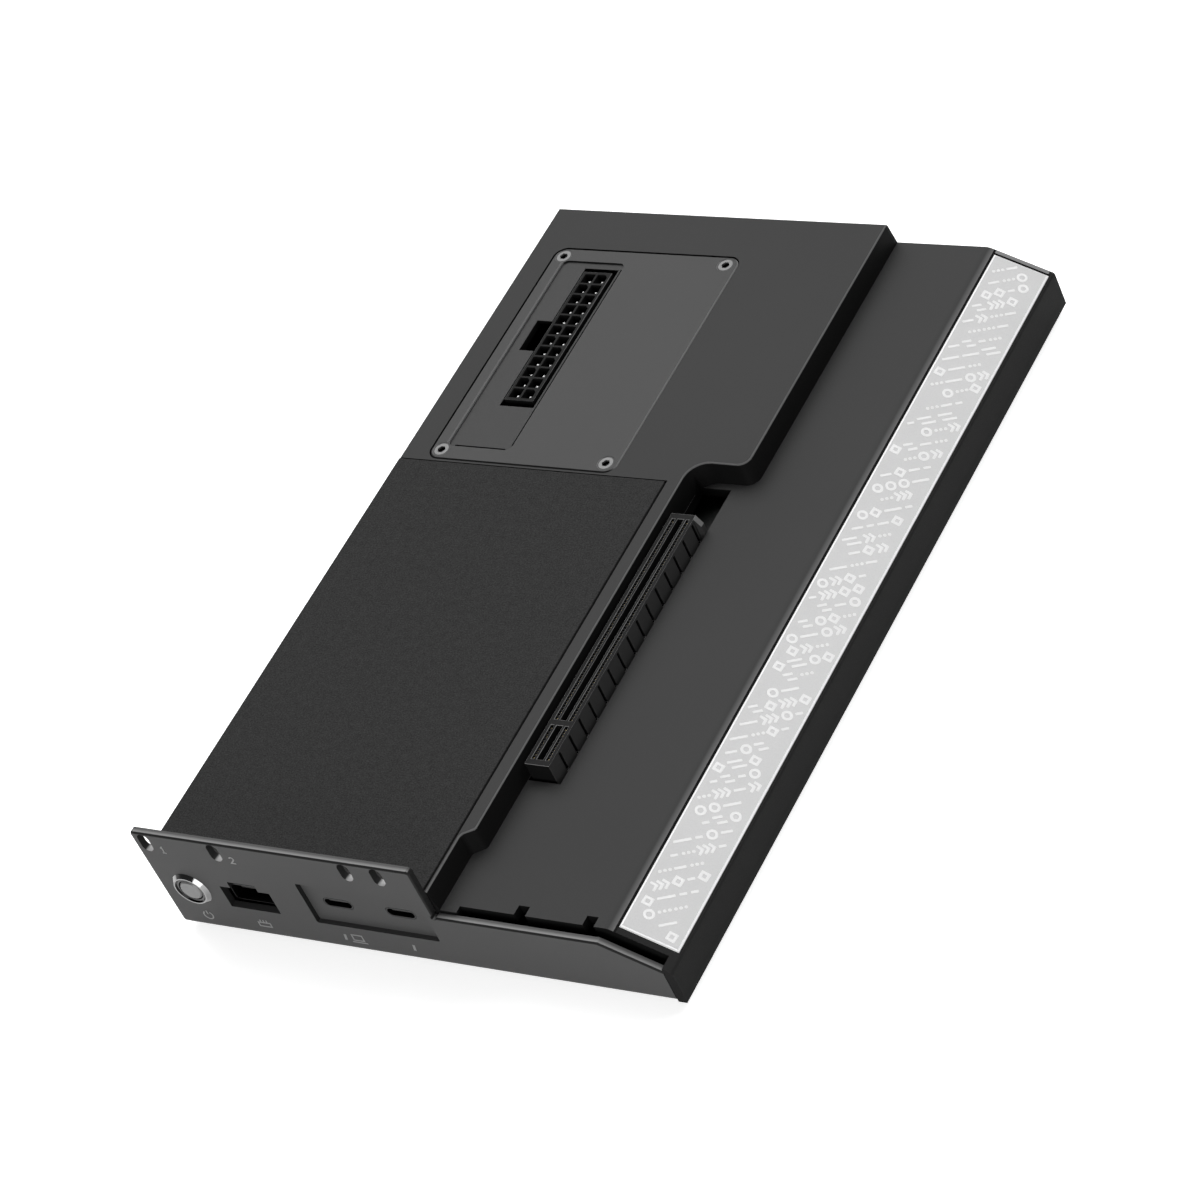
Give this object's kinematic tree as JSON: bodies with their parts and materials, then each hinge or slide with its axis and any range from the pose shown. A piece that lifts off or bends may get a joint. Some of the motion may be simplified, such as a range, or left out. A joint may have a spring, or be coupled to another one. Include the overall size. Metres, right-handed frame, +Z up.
{
  "type": "desktop graphics dock",
  "caption": "Flat desktop dock with a stepped deck for a computer power supply and a graphics card, a front port panel with a power button, and a light strip along one sloped edge.",
  "frame": {"origin": "centre of the dock's footprint, on the surface that its feet stand on", "axes": "+X to the sloped edge with the light strip, +Y from the port panel to the rear, +Z up"},
  "size_m": [0.156, 0.249, 0.0383],
  "materials": {
    "housing": "fine moulded texture",
    "panel": "satin powder coat with bare upper edges",
    "mat": "matte grained rubber",
    "plate": "satin powder coat",
    "screw": "zinc plated",
    "diffuser": "translucent, satin",
    "lamp_board": "white solder mask",
    "lamp": "phosphor",
    "board": "black solder mask",
    "connector": "moulded, matte",
    "contact": "gold flashed",
    "pin": "tin plated",
    "shell": "stamped, black nickel plated",
    "bezel": "polished",
    "button_dark": "smooth",
    "button_cap": "satin",
    "heatsink": "extruded",
    "chip": "moulded package",
    "can": "sleeveless can",
    "foot": "matte",
    "cover": "black powder coat"
  },
  "bodies": {
    "dock": {"top_housing": "housing", "port_panel": "panel", "psu_mat": "mat", "connector_plate": "plate", "plate_screws": "screw", "light_strip": "diffuser", "led_board": "lamp_board", "leds": "lamp", "main_board": "board", "board_screws": "screw", "controller_chip": "chip", "controller_heatsink": "heatsink", "power_chokes": "chip", "power_capacitors": "can", "graphics_slot": "connector", "slot_contacts": "contact", "power_header": "connector", "power_header_pins": "pin", "link_port_shell": "shell", "link_port_insulator": "connector", "usb_c_shell_left": "shell", "usb_c_shell_right": "shell", "usb_c_insulator_left": "connector", "usb_c_insulator_right": "connector", "button_bezel": "bezel", "button_ring": "button_dark", "button_switch": "button_dark", "button_nut": "screw", "bottom_cover": "cover", "cover_screws": "screw", "panel_screws": "screw", "foot_front_left": "foot", "foot_front_right": "foot", "foot_rear_left": "foot", "foot_rear_right": "foot"},
    "power_button": {"button_cap": "button_cap", "button_plunger": "button_dark"}
  },
  "joints": [
    {"name": "button_press", "type": "slide", "parent": "dock", "child": "power_button", "axis": [0, 1, 0], "range_m": [0, 0.0012], "stiffness_N_per_m": 1200, "springref_m": -0.0008}
  ]
}
